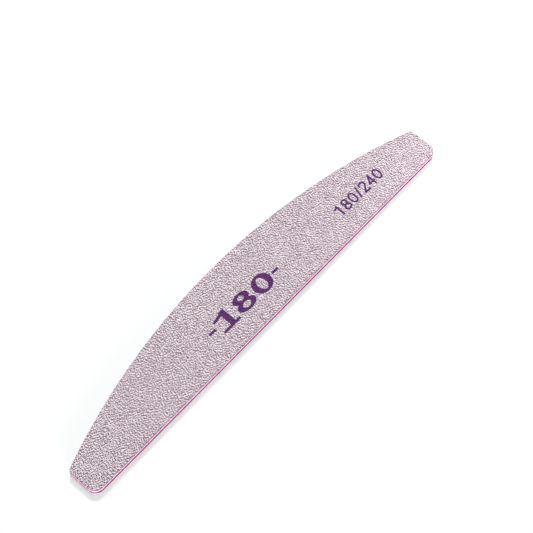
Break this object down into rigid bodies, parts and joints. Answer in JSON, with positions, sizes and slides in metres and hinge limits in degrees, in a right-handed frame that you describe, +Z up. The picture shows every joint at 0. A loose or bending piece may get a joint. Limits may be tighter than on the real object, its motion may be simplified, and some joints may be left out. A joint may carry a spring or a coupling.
{
  "type": "nail file",
  "caption": "Half-moon nail file: straight edge, shallow crown, short round-cornered ends; abrasive sheets on soft foam either side of a stiff coloured core.",
  "frame": {"origin": "centre of the underside, on the surface that the file lies on", "axes": "+X along the length, +Y from the straight edge to the crown, +Z up through the layers, out of the 180-grit face"},
  "size_m": [0.178, 0.0282, 0.0045],
  "materials": {
    "abrasive_paper": "gritty, greyish pink, matt",
    "foam": "soft closed-cell foam, pale pink, matt",
    "core_plastic": "die-cut magenta polystyrene edge",
    "adhesive_film": "thin clear pressure-sensitive adhesive"
  },
  "bodies": {
    "root": {"abrasive_sheet_180": "abrasive_paper", "sheet_film_180": "adhesive_film", "foam_pad_180": "foam", "core_film_180": "adhesive_film", "core_plate": "core_plastic", "core_film_240": "adhesive_film", "foam_pad_240": "foam", "sheet_film_240": "adhesive_film", "abrasive_sheet_240": "abrasive_paper"}
  },
  "joints": []
}
